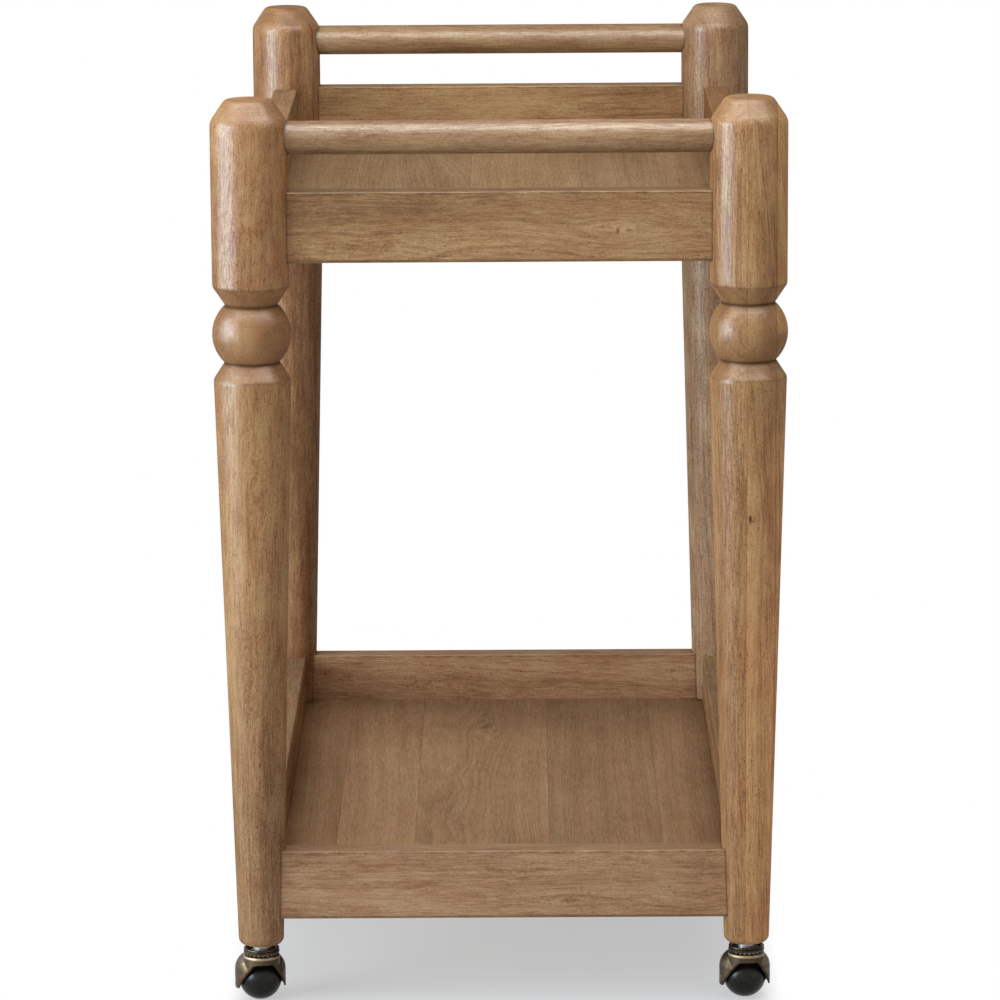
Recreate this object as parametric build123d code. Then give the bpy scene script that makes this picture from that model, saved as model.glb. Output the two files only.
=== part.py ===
from build123d import *
from math import sqrt
import os

# Bar cart with four turned posts, two trays, two rail handles and four hooded ball casters.
# Millimetres. X runs across the cart, Y along it and Z up. The floor is Z = 0, and the origin
# is midway between the four posts.

# Whole cart
cart_height = 856.0
post_pitch_across = 457.0
post_pitch_along = 800.0

# Turned post: depths are measured down from its top
post_radius = 35.7
crown_radius = 21.5
crown_depth = 20.9
block_depth = 172.2
bead_radius = 36.4
bead_depth = 216.8
upper_neck_radius = 24.2
lower_neck_radius = 25.3
shoulder_depth = 258.7
leg_top_radius = 35.6
leg_bottom_radius = 21.1
foot_depth = 799.0
foot_rounding = 6.2
crown_rounding = 7.0
crown_shoulder_rounding = 16.0
shoulder_rounding = 8.0

# Rails of both trays
rail_thickness = 25.0
rail_height = 65.4
rail_edge_rounding = 1.8
upper_rail_top = cart_height - 84.6
lower_rail_top = 148.9
upper_rail_end = 29.0
lower_rail_end = 16.5

# Tray panels, held by a tongue in a groove round the inside of the rails
panel_drop = 49.7
panel_thickness = 12.0
tongue_thickness = 6.0
tongue_depth = 8.0
groove_depth = 8.5
panel_gap = 0.5

# Handle rails between the posts
handle_radius = 15.4
handle_height = cart_height - 35.8
handle_end = 22.0

# Dowel pins between rails and posts: the two rails of a corner have theirs at different heights
pin_radius = 4.0
pin_length = 36.0
pin_in_post = 17.0
end_rail_pin_rise = 22.0
side_rail_pin_rise = 9.0

# Ball caster: heights are above the floor, and +Y is the way the ball trails behind its stem
wheel_radius = 20.0
wheel_trail = 9.3
hub_radius = 4.5
hub_reach = 21.4
axle_radius = 2.5
axle_reach = 23.6
axle_clearance = 0.05
hood_wall = 1.6
hood_top = 46.6
hood_radius = 23.9
hood_crown_radius = 7.6
hood_neck_radius = 17.3
hood_neck_rounding = 2.2
hood_neck_rise = 0.4
arch_height = 39.4
arch_front = -14.0
ear_tip_y = 2.5
ear_tip_height = 12.9
back_rim_height = 13.5
arch_rounding = 6.0
ear_rounding = 1.5
stem_radius = 4.0
stem_clearance = 0.06
rivet_radius = 6.5
rivet_height = 2.3
rivet_gap = 0.3
collar_radius = 8.0
stem_top = 87.2
stem_upper_radius = 3.6
grip_neck_radius = 2.6
grip_neck_height = 3.0
grip_head_height = 4.0
race_inner_radius = 13.1
race_outer_radius = 16.0
race_gap = 0.2
race_height = 2.8
cap_radius = 16.9
cap_floor = 50.8
cap_rim = 53.4
cap_rim_inner_radius = 13.2
cap_skirt_inner_radius = 16.3
cap_skirt_height = 48.6
cap_waist_radius = 15.8
cap_rounding = 1.2
cap_inner_rounding = 1.6
socket_flange_radius = 9.0
socket_flange_thickness = 3.0
socket_radius = 5.5
socket_length = 31.0
socket_bore_length = 32.0

# How far each caster is turned about its stem at rest, in degrees
caster_rest_turn = {"front_left": 12.0, "front_right": 7.0, "back_left": 7.0, "back_right": 4.0}

half_across = post_pitch_across / 2
half_along = post_pitch_along / 2
leg_end = cart_height - foot_depth
corners = {
    "front_left": (-half_across, -half_along),
    "front_right": (half_across, -half_along),
    "back_left": (-half_across, half_along),
    "back_right": (half_across, half_along),
}
rail_tops = {"upper": upper_rail_top, "lower": lower_rail_top}
rail_ends = {"upper": upper_rail_end, "lower": lower_rail_end}


def corner_of(face, radius, height):
    return face.vertices().sort_by_distance((radius, 0, height))[0]


def leg_radius(height):
    """Radius of the tapered leg at a height above the floor."""
    shoulder = cart_height - shoulder_depth
    share = (shoulder - height) / (shoulder - leg_end)
    return leg_top_radius + (leg_bottom_radius - leg_top_radius) * share


def turned_post():
    """A post turned about its own axis: crown, block, bead between two necks, tapered leg."""
    bead = cart_height - bead_depth
    upper_neck = bead + sqrt(bead_radius**2 - upper_neck_radius**2)
    lower_neck = bead - sqrt(bead_radius**2 - lower_neck_radius**2)
    shoulder = cart_height - shoulder_depth
    crown = cart_height - crown_depth
    block = cart_height - block_depth
    top = Plane.XZ * Polyline(
        (0, leg_end),
        (0, cart_height),
        (crown_radius, cart_height),
        (post_radius, crown),
        (post_radius, block),
        (upper_neck_radius, upper_neck),
    )
    ball = Plane.XZ * ThreePointArc(
        (upper_neck_radius, upper_neck), (bead_radius, bead), (lower_neck_radius, lower_neck)
    )
    leg = Plane.XZ * Polyline(
        (lower_neck_radius, lower_neck),
        (leg_top_radius, shoulder),
        (leg_bottom_radius, leg_end),
        (0, leg_end),
    )
    face = make_face([*top.edges(), ball, *leg.edges()])
    face = fillet(corner_of(face, crown_radius, cart_height), crown_rounding)
    face = fillet(corner_of(face, post_radius, crown), crown_shoulder_rounding)
    face = fillet(corner_of(face, post_radius, block), shoulder_rounding)
    face = fillet(corner_of(face, leg_top_radius, shoulder), shoulder_rounding)
    face = fillet(corner_of(face, leg_bottom_radius, leg_end), foot_rounding)
    return revolve(face, Axis.Z)


def rail_along_x(tray, length, groove_side):
    """A rail along X centred on Y = 0, grooved on its +Y side (1), its -Y side (-1) or not at all (0)."""
    top = rail_tops[tray]
    middle = top - rail_height / 2
    section = Plane.YZ * Pos(0, middle) * RectangleRounded(rail_thickness, rail_height, rail_edge_rounding)
    rail = extrude(section, length / 2, both=True)
    if groove_side == 0:
        return rail
    tongue_middle = top - panel_drop - panel_thickness / 2
    groove_y = groove_side * (rail_thickness / 2 - groove_depth / 2)
    groove = Pos(0, groove_y, tongue_middle) * Box(length, groove_depth, tongue_thickness)
    return rail - groove


def tray_rails(tray, groove=1):
    """The four rails of a tray, by name, or with groove=0 as plain lengths."""
    end_length = post_pitch_across - 2 * rail_ends[tray]
    side_length = post_pitch_along - 2 * rail_ends[tray]
    return {
        f"{tray}_end_rail_front": Pos(0, -half_along, 0) * rail_along_x(tray, end_length, groove),
        f"{tray}_end_rail_back": Pos(0, half_along, 0) * rail_along_x(tray, end_length, -groove),
        f"{tray}_side_rail_left": Location((-half_across, 0, 0), (0, 0, 90))
        * rail_along_x(tray, side_length, -groove),
        f"{tray}_side_rail_right": Location((half_across, 0, 0), (0, 0, 90))
        * rail_along_x(tray, side_length, groove),
    }


def tray_panel(tray):
    """A flat glued-up board with a tongue all round, notched where the posts stand."""
    top = rail_tops[tray] - panel_drop
    reach_x = half_across - rail_thickness / 2
    reach_y = half_along - rail_thickness / 2
    body = Box(2 * (reach_x - panel_gap), 2 * (reach_y - panel_gap), panel_thickness)
    tongue = Box(2 * (reach_x + tongue_depth), 2 * (reach_y + tongue_depth), tongue_thickness)
    panel = Pos(0, 0, top - panel_thickness / 2) * (body + tongue)
    post_there = post_radius if tray == "upper" else leg_radius(top - panel_thickness)
    notch = Cylinder(post_there + 2 * panel_gap, 4 * panel_thickness)
    for x, y in corners.values():
        panel -= Pos(x, y, top) * notch
    return panel


def dowel_pins(tray):
    """Pins for every joint of a tray: two in each end of each rail."""
    middle = rail_tops[tray] - rail_height / 2
    centre = rail_ends[tray] - pin_in_post + pin_length / 2
    pin = Cylinder(pin_radius, pin_length)
    pins = []
    for x, y in corners.values():
        inward_x = -1 if x > 0 else 1
        inward_y = -1 if y > 0 else 1
        for rise in (-end_rail_pin_rise, end_rail_pin_rise):
            pins.append(Pos(x + inward_x * centre, y, middle + rise) * Rot(0, 90, 0) * pin)
        for rise in (-side_rail_pin_rise, side_rail_pin_rise):
            pins.append(Pos(x, y + inward_y * centre, middle + rise) * Rot(90, 0, 0) * pin)
    return pins


def handle_rail(y):
    """A round rail let into the posts at both ends."""
    length = post_pitch_across - 2 * handle_end
    return Pos(0, y, handle_height) * Rot(0, 90, 0) * Cylinder(handle_radius, length)


def revolve_outline(points):
    """A solid of revolution about Z from points given as radius and height."""
    return revolve(make_face(Plane.XZ * Polyline(*points, close=True)), Axis.Z)


def hood_form(inset):
    """The hood's outer form, or with an inset its hollow: a dome over the ball and a round neck."""
    radius = hood_radius - inset
    top = hood_top - hood_neck_rise - inset
    bend = hood_radius - hood_crown_radius - inset
    bend_height = top - bend
    line = Plane.XZ * Polyline((hood_crown_radius, top), (0, top), (0, 0), (radius, 0), (radius, bend_height))
    curve = Plane.XZ * RadiusArc((radius, bend_height), (hood_crown_radius, top), -bend)
    dome = revolve(make_face([*line.edges(), curve]), Axis.Z)
    neck = Cylinder(hood_neck_radius - inset, top + hood_neck_rise, align=(Align.CENTER, Align.CENTER, Align.MIN))
    neck = fillet(neck.edges().group_by(Axis.Z)[-1], hood_neck_rounding)
    return Pos(0, wheel_trail, 0) * dome + neck


def hood():
    """The pressed hood: open below, arched in front and at the ears, with stem and axle holes."""
    front = hood_neck_radius + wheel_radius
    back = wheel_trail + hood_radius + wheel_radius
    outline = Plane.YZ * Polyline(
        (-front, -1),
        (-front, arch_height),
        (arch_front, arch_height),
        (ear_tip_y, ear_tip_height),
        (back, back_rim_height),
        (back, -1),
        close=True,
    )
    face = make_face(outline)
    arch_corner = face.vertices().sort_by_distance((0, arch_front, arch_height))[0]
    face = fillet(arch_corner, arch_rounding)
    ear_corner = face.vertices().sort_by_distance((0, ear_tip_y, ear_tip_height))[0]
    face = fillet(ear_corner, ear_rounding)
    opening = extrude(face, 2 * hood_radius, both=True)
    stem_hole = Pos(0, 0, hood_top) * Cylinder(stem_radius + stem_clearance, 4 * hood_wall)
    axle_hole = Pos(0, wheel_trail, wheel_radius) * Rot(0, 90, 0) * Cylinder(axle_radius, 3 * hood_radius)
    return hood_form(0) - hood_form(hood_wall) - opening - stem_hole - axle_hole


def ball_wheel():
    """A ball with a short hub at each side, bored for the axle."""
    ball = Sphere(wheel_radius) + Rot(0, 90, 0) * Cylinder(hub_radius, 2 * hub_reach)
    bore = Rot(0, 90, 0) * Cylinder(axle_radius + axle_clearance, 3 * hub_reach)
    return Pos(0, wheel_trail, wheel_radius) * (ball - bore)


def axle():
    return Pos(0, wheel_trail, wheel_radius) * Rot(0, 90, 0) * Cylinder(axle_radius, 2 * axle_reach)


def stem():
    """The caster's pin: rivet head inside the hood, collar on the cap, grip neck in the socket."""
    rivet_top = hood_top - hood_wall - rivet_gap
    collar_top = leg_end - socket_flange_thickness
    return revolve_outline(
        [
            (0, rivet_top - rivet_height),
            (rivet_radius - 1.5, rivet_top - rivet_height),
            (rivet_radius, rivet_top - rivet_height / 2),
            (rivet_radius, rivet_top),
            (stem_radius, rivet_top),
            (stem_radius, cap_floor),
            (collar_radius, cap_floor),
            (collar_radius, collar_top),
            (stem_upper_radius, collar_top),
            (stem_upper_radius, stem_top - grip_head_height - grip_neck_height),
            (grip_neck_radius, stem_top - grip_head_height - grip_neck_height + 0.5),
            (grip_neck_radius, stem_top - grip_head_height),
            (stem_upper_radius, stem_top - grip_head_height + 0.5),
            (stem_upper_radius, stem_top - 1.5),
            (stem_upper_radius - 1.5, stem_top),
            (0, stem_top),
        ]
    )


def socket():
    """The sleeve pressed up into the leg, with its flange against the leg's end."""
    flange_bottom = leg_end - socket_flange_thickness
    return revolve_outline(
        [
            (stem_upper_radius, flange_bottom),
            (socket_flange_radius, flange_bottom),
            (socket_flange_radius, leg_end),
            (socket_radius, leg_end),
            (socket_radius, leg_end + socket_length),
            (stem_upper_radius, leg_end + socket_length),
        ]
    )


def race_cap():
    """The upper race: a dished cap with a rolled rim, a waist and a skirt over the bearing balls."""
    race_top = hood_top + race_gap + race_height
    waist = (cap_floor + race_top) / 2 + 1
    face = make_face(
        Plane.XZ
        * Polyline(
            (stem_radius, race_top),
            (cap_skirt_inner_radius, race_top),
            (cap_skirt_inner_radius, cap_skirt_height),
            (cap_radius, cap_skirt_height),
            (cap_radius, waist - 0.9),
            (cap_waist_radius, waist),
            (cap_radius - 0.2, waist + 0.9),
            (cap_radius - 0.2, cap_rim),
            (cap_rim_inner_radius, cap_rim),
            (cap_rim_inner_radius, cap_floor),
            (stem_radius, cap_floor),
            close=True,
        )
    )
    face = fillet(corner_of(face, cap_radius - 0.2, cap_rim), cap_rounding)
    face = fillet(corner_of(face, cap_rim_inner_radius, cap_rim), cap_inner_rounding)
    return revolve(face, Axis.Z)


def ball_race():
    """The ring of bearing balls between cap and hood, as one ring with a rounded outside."""
    bottom = hood_top + race_gap
    top = bottom + race_height
    bulge = 0.8
    line = Plane.XZ * Polyline(
        (race_outer_radius - bulge, top),
        (race_inner_radius, top),
        (race_inner_radius, bottom),
        (race_outer_radius - bulge, bottom),
    )
    curve = Plane.XZ * ThreePointArc(
        (race_outer_radius - bulge, bottom),
        (race_outer_radius, (bottom + top) / 2),
        (race_outer_radius - bulge, top),
    )
    return revolve(make_face([*line.edges(), curve]), Axis.Z)


def caster_pieces():
    """One caster with its stem on Z and its ball trailing along +Y."""
    return {
        "caster_socket": socket(),
        "caster_stem": stem(),
        "caster_race_cap": race_cap(),
        "caster_ball_race": ball_race(),
        "caster_hood": hood(),
        "caster_axle": axle(),
        "caster_ball_wheel": ball_wheel(),
    }


def socket_bore():
    """The hole for the socket, up the middle of the leg."""
    return Cylinder(socket_radius, socket_bore_length, align=(Align.CENTER, Align.CENTER, Align.MIN))


def build():
    nodes = {}
    entering = []
    for y, end in ((-half_along, "front"), (half_along, "back")):
        nodes[f"handle_rail_{end}"] = handle_rail(y)
        entering.append(handle_rail(y))
    for tray in ("upper", "lower"):
        pins = dowel_pins(tray)
        for name, rail in tray_rails(tray).items():
            nodes[name] = rail - pins
        nodes[f"{tray}_tray_panel"] = tray_panel(tray)
        nodes[f"{tray}_tray_dowel_pins"] = Compound(children=pins)
        entering += [*tray_rails(tray, groove=0).values(), *pins]

    # Each post gets a seat cut by every rail, pin and handle that enters it
    for name, (x, y) in corners.items():
        post = Pos(x, y, 0) * turned_post() - Pos(x, y, leg_end) * socket_bore()
        near = post.bounding_box()
        for piece in entering:
            box = piece.bounding_box()
            if box.max.X > near.min.X and box.min.X < near.max.X:
                if box.max.Y > near.min.Y and box.min.Y < near.max.Y:
                    post -= piece
        nodes[f"post_{name}"] = post

    pieces = caster_pieces()
    for name, (x, y) in corners.items():
        place = Location((x, y, 0), (0, 0, caster_rest_turn[name]))
        for piece, solid in pieces.items():
            nodes[f"{piece}_{name}"] = place * solid
    return nodes


os.makedirs("parts", exist_ok=True)
for node, shape in build().items():
    export_step(shape, f"parts/{node}.step")
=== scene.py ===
import bpy
import math
from mathutils import Matrix, Vector


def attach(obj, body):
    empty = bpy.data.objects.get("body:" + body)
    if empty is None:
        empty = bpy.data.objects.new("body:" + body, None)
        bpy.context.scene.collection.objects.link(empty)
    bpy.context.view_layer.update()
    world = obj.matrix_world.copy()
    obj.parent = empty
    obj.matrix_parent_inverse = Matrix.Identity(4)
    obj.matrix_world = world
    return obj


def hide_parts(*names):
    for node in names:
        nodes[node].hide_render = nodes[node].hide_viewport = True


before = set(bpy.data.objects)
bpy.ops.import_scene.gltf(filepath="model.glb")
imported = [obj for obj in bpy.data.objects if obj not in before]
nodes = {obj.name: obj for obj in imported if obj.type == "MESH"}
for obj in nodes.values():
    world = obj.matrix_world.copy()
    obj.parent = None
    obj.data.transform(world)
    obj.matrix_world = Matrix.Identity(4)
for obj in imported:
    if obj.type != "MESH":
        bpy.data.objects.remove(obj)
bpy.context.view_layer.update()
print("frame loaded:", len(nodes), "CAD nodes")

# Metres throughout: X across the cart, Y along it, Z up
cart = {
    "halfAcross": 0.2285,
    "halfAlong": 0.4,
    "legEnd": 0.057,
    "legShoulder": 0.5973,
    "legEndRadius": 0.0211,
    "legTopRadius": 0.0356,
    "lowerGroove": 0.613,
    "beadMiddle": 0.6397,
    "beadHalf": 0.0262,
    "upperGroove": 0.6664,
    "blockFoot": 0.6838,
    "blockRadius": 0.0357,
}
corners = {
    "front_left": (-1, -1),
    "front_right": (1, -1),
    "back_left": (-1, 1),
    "back_right": (1, 1),
}


# Node helpers
def addNode(tree, kind, settings=None, inputs=None):
    node = tree.nodes.new(kind)
    for name, value in (settings or {}).items():
        setattr(node, name, value)
    for key, value in (inputs or {}).items():
        if isinstance(value, bpy.types.NodeSocket):
            tree.links.new(value, node.inputs[key])
        else:
            node.inputs[key].default_value = value
    return node


def calc(tree, operation, *values, clamp=False):
    settings = {"operation": operation, "use_clamp": clamp}
    return addNode(tree, "ShaderNodeMath", settings, dict(enumerate(values))).outputs[0]


def apart(tree, first, second):
    return calc(tree, "ABSOLUTE", calc(tree, "SUBTRACT", first, second))


# Goes evenly from one value to another as the share goes from 0 to 1
def between(tree, share, atZero, atOne):
    return calc(tree, "MULTIPLY_ADD", share, atOne - atZero, atZero)


def ramp(tree, value, low, high, toLow=0.0, toHigh=1.0):
    inputs = {"Value": value, 1: low, 2: high, 3: toLow, 4: toHigh}
    return addNode(tree, "ShaderNodeMapRange", {"interpolation_type": "SMOOTHSTEP"}, inputs).outputs[0]


def vectorCalc(tree, operation, *values):
    node = addNode(tree, "ShaderNodeVectorMath", {"operation": operation}, dict(enumerate(values)))
    return node.outputs["Value" if operation == "LENGTH" else "Vector"]


def scaled(tree, vector, size):
    node = addNode(tree, "ShaderNodeVectorMath", {"operation": "SCALE"}, {0: vector, "Scale": size})
    return node.outputs["Vector"]


def axesOf(tree, vector):
    return addNode(tree, "ShaderNodeSeparateXYZ", inputs={0: vector}).outputs


def noise(tree, vector, scale, detail, output="Fac"):
    inputs = {"Vector": vector, "Scale": scale, "Detail": detail}
    return addNode(tree, "ShaderNodeTexNoise", inputs=inputs).outputs[output]


def lineNoise(tree, value, scale, detail):
    inputs = {"W": value, "Scale": scale, "Detail": detail}
    return addNode(tree, "ShaderNodeTexNoise", {"noise_dimensions": "1D"}, inputs).outputs[0]


def chanceOf(tree, value, output):
    return addNode(tree, "ShaderNodeTexWhiteNoise", {"noise_dimensions": "1D"}, {"W": value}).outputs[output]


def mixed(tree, share, first, second, mode="MIX"):
    settings = {"data_type": "RGBA", "blend_type": mode}
    return addNode(tree, "ShaderNodeMix", settings, {0: share, 6: first, 7: second}).outputs[2]


def rgb(colour):
    return (*colour, 1.0)


def newGroup(name, inputs, outputs):
    tree = bpy.data.node_groups.new(name, "ShaderNodeTree")
    for label, kind, value in inputs:
        socket = tree.interface.new_socket(label, in_out="INPUT", socket_type="NodeSocket" + kind)
        if value is not None:
            socket.default_value = value
    for label, kind in outputs:
        tree.interface.new_socket(label, in_out="OUTPUT", socket_type="NodeSocket" + kind)
    start = tree.nodes.new("NodeGroupInput")
    end = tree.nodes.new("NodeGroupOutput")
    return tree, start.outputs, end.inputs


def useGroup(tree, group, inputs):
    return addNode(tree, "ShaderNodeGroup", {"node_tree": group}, inputs).outputs


def linkAll(tree, values, sockets):
    for label, value in values.items():
        tree.links.new(value, sockets[label])


def startMaterial(name):
    material = bpy.data.materials.new(name)
    material.use_nodes = True
    tree = material.node_tree
    return material, tree, addNode(tree, "ShaderNodeTexCoord").outputs


def dress(node, material):
    mesh = nodes[node].data
    mesh.materials.clear()
    mesh.materials.append(material)


# Camera
cameraView = {
    "place": (0.0139, -5.027, 1.4255),
    "pitch": 11.53,
    "yaw": -0.185,
    "roll": -0.36,
    "lens": 183.6,
    "sensor": 36.0,
    "farthest": 100.0,
}


def aimCamera(view):
    pitch, yaw, roll = (math.radians(view[key]) for key in ("pitch", "yaw", "roll"))
    forward = Vector((math.sin(yaw) * math.cos(pitch), math.cos(yaw) * math.cos(pitch), -math.sin(pitch)))
    level = Vector((math.cos(yaw), -math.sin(yaw), 0.0))
    over = level.cross(forward)
    right = level * math.cos(roll) + over * math.sin(roll)
    up = over * math.cos(roll) - level * math.sin(roll)
    turned = Matrix((right, up, -forward)).transposed().to_4x4()
    lens = bpy.data.cameras.new("camera")
    lens.lens = view["lens"]
    lens.sensor_width = view["sensor"]
    lens.clip_end = view["farthest"]
    camera = bpy.data.objects.new("camera", lens)
    camera.matrix_world = Matrix.Translation(view["place"]) @ turned
    bpy.context.scene.collection.objects.link(camera)
    bpy.context.scene.camera = camera


aimCamera(cameraView)
print("camera placed")

# Wood figure: the grain runs along Z of the vector it is given. Each layer of noise has its stretch along
# the grain, its scale and detail, and the two noise values between which it grows from 0 to 1
woodLayers = {
    "cloud": (0.22, 17.0, 3.0, 0.2, 0.8),
    "patch": (0.3, 34.0, 2.0, 0.35, 0.65),
    "mottle": (0.45, 55.0, 2.0, 0.3, 0.7),
    "streak": (0.015, 300.0, 2.0, 0.25, 0.75),
    "fibre": (0.06, 900.0, 1.0, 0.25, 0.75),
    "dash": (0.3, 1250.0, 1.0, 0.25, 0.75),
    "fleck": (0.3, 620.0, 2.0, 0.58, 0.68),
}
# A warp is its noise's scale and detail and how far it moves the figure; any other noise is scale and detail
woodRings = {
    "warps": ((5.0, 1.0, 0.035), (28.0, 1.0, 0.008)),
    "warpAlong": 0.3,
    "wanderNoise": (0.8, 1.0),
    "wander": 1.6,
    "toneNoise": (0.9, 2.0),
    "bandNoise": (0.21, 1.0),
    "lineGrows": (0.7, 0.96),
    "lineEnds": (0.97, 1.0),
}
woodPores = {
    "along": 0.36,
    "scale": 720.0,
    "share": (0.1, 0.9),
    "size": (0.14, 0.36),
    "soft": 0.06,
    "strength": (0.4, 1.0),
    "dark": 0.75,
}
# What is left of the fine layers, pores and ring lines on end grain
onEndGrain = {"fine": 0.25, "pore": 0.25, "ringLine": 0.3}
woodSurface = {
    "fleckPatches": (0.2, 1.0),
    "mottleTints": ((1.03, 0.98, 0.965, 1), (0.98, 1.012, 0.99, 1)),
    "roughness": (0.32, 0.26),
    "poreRoughness": 0.2,
    "level": 0.4,
    "fibreHeight": 0.3,
    "dashHeight": 0.25,
    "poreDepth": 0.5,
}


def buildWoodFigure():
    tree, given, out = newGroup(
        "woodFigure",
        [
            ("Place", "Vector", None),
            ("Across", "Float", 0.0),
            ("Warp", "Float", 1.0),
            ("Ring Gap", "Float", 0.006),
            ("Ring Wave", "Float", 0.0),
            ("Ring Line", "Float", 0.25),
            ("Ring Depth", "Float", 0.4),
            ("Band Depth", "Float", 0.5),
            ("Cloud Depth", "Float", 0.5),
            ("Mottle Depth", "Float", 0.3),
            ("Streak Depth", "Float", 0.3),
            ("Fibre Depth", "Float", 0.35),
            ("Dash Depth", "Float", 0.4),
            ("Fleck Depth", "Float", 0.3),
            ("Pore Cover", "Float", 0.5),
            ("Tint", "Color", (1, 1, 1, 1)),
            ("Light", "Color", (0.455, 0.275, 0.138, 1)),
            ("Middle", "Color", (0.325, 0.176, 0.082, 1)),
            ("Dark", "Color", (0.185, 0.09, 0.04, 1)),
            ("Pore", "Color", (0.07, 0.034, 0.016, 1)),
        ],
        [("Color", "Color"), ("Roughness", "Float"), ("Height", "Float")],
    )

    def stretched(vector, along):
        return vectorCalc(tree, "MULTIPLY", vector, (1, 1, along))

    def warped(vector, scale, detail, reach):
        drift = noise(tree, stretched(vector, woodRings["warpAlong"]), scale, detail, "Color")
        drift = scaled(tree, vectorCalc(tree, "SUBTRACT", drift, (0.5, 0.5, 0.5)), given["Warp"])
        return vectorCalc(tree, "MULTIPLY_ADD", drift, (reach, reach, 0.0), vector)

    def swing(value, depth):
        return calc(tree, "MULTIPLY", calc(tree, "SUBTRACT", value, 0.5), given[depth])

    def faded(value, kind):
        return calc(tree, "MULTIPLY", value, between(tree, given["Across"], 1.0, onEndGrain[kind]))

    place = given["Place"]
    for warp in woodRings["warps"]:
        place = warped(place, *warp)
    layers = {
        name: ramp(tree, noise(tree, stretched(place, along), scale, detail), low, high)
        for name, (along, scale, detail, low, high) in woodLayers.items()
    }

    ringAt = calc(tree, "DIVIDE", vectorCalc(tree, "LENGTH", stretched(place, 0.0)), given["Ring Gap"])
    wander = lineNoise(tree, ringAt, *woodRings["wanderNoise"])
    ringAt = calc(tree, "MULTIPLY_ADD", wander, woodRings["wander"], ringAt)
    ringTone = lineNoise(tree, ringAt, *woodRings["toneNoise"])
    bandTone = lineNoise(tree, ringAt, *woodRings["bandNoise"])
    wave = calc(tree, "PINGPONG", calc(tree, "MULTIPLY", ringAt, 2.0), 1.0)
    inRing = calc(tree, "FRACT", ringAt)
    chance = chanceOf(tree, calc(tree, "FLOOR", ringAt), "Value")
    ringLine = calc(
        tree,
        "MULTIPLY",
        ramp(tree, inRing, *woodRings["lineGrows"]),
        ramp(tree, inRing, *woodRings["lineEnds"], 1.0, 0.0),
    )
    ringLine = faded(calc(tree, "MULTIPLY", ringLine, calc(tree, "MULTIPLY", chance, chance)), "ringLine")

    inputs = {"Vector": stretched(place, woodPores["along"]), "Scale": woodPores["scale"]}
    cells = addNode(tree, "ShaderNodeTexVoronoi", inputs=inputs).outputs
    chances = axesOf(tree, cells["Color"])
    cover = calc(tree, "MULTIPLY", between(tree, layers["patch"], *woodPores["share"]), given["Pore Cover"])
    beyond = calc(tree, "SUBTRACT", cells["Distance"], between(tree, chances["Y"], *woodPores["size"]))
    pore = ramp(tree, beyond, -woodPores["soft"], woodPores["soft"], 1.0, 0.0)
    pore = calc(tree, "MULTIPLY", pore, calc(tree, "LESS_THAN", chances["X"], cover))
    pore = faded(calc(tree, "MULTIPLY", pore, between(tree, chances["Z"], *woodPores["strength"])), "pore")

    inPatches = between(tree, layers["patch"], *woodSurface["fleckPatches"])
    fleck = calc(tree, "MULTIPLY", layers["fleck"], inPatches)
    fine = calc(tree, "ADD", swing(layers["fibre"], "Fibre Depth"), swing(layers["streak"], "Streak Depth"))
    fine = calc(tree, "ADD", fine, swing(layers["dash"], "Dash Depth"))
    fine = calc(tree, "SUBTRACT", fine, calc(tree, "MULTIPLY", fleck, given["Fleck Depth"]))
    tone = faded(fine, "fine")
    broad = {
        "Ring Depth": ringTone,
        "Band Depth": bandTone,
        "Ring Wave": wave,
        "Cloud Depth": layers["cloud"],
        "Mottle Depth": layers["mottle"],
    }
    for depth, value in broad.items():
        tone = calc(tree, "ADD", tone, swing(value, depth))
    tone = calc(tree, "SUBTRACT", tone, calc(tree, "MULTIPLY", ringLine, given["Ring Line"]))

    # Tone -0.5 gives the dark colour, 0 the middle one and 0.5 the light one
    lower = calc(tree, "MULTIPLY_ADD", tone, 2.0, 1.0, clamp=True)
    upper = calc(tree, "MULTIPLY", tone, 2.0, clamp=True)
    colour = mixed(tree, lower, given["Dark"], given["Middle"])
    colour = mixed(tree, upper, colour, given["Light"])
    tint = mixed(tree, layers["mottle"], *woodSurface["mottleTints"])
    colour = mixed(tree, 1.0, colour, tint, "MULTIPLY")
    colour = mixed(tree, 1.0, colour, given["Tint"], "MULTIPLY")
    colour = mixed(tree, calc(tree, "MULTIPLY", pore, woodPores["dark"]), colour, given["Pore"])
    rough = between(tree, layers["dash"], *woodSurface["roughness"])
    rough = calc(tree, "MULTIPLY_ADD", pore, woodSurface["poreRoughness"], rough)
    height = calc(tree, "MULTIPLY_ADD", layers["fibre"], woodSurface["fibreHeight"], woodSurface["level"])
    height = calc(tree, "MULTIPLY_ADD", layers["dash"], woodSurface["dashHeight"], height)
    height = calc(tree, "MULTIPLY_ADD", pore, -woodSurface["poreDepth"], height)
    linkAll(tree, {"Color": colour, "Roughness": rough, "Height": height}, out)
    return tree


# Painted shade where a piece meets one of the posts; its dark tone also draws the dark lines on the rails
jointShadeAndLines = {"tone": (0.07, 0.035, 0.018, 1), "touching": 0.0003}


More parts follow.
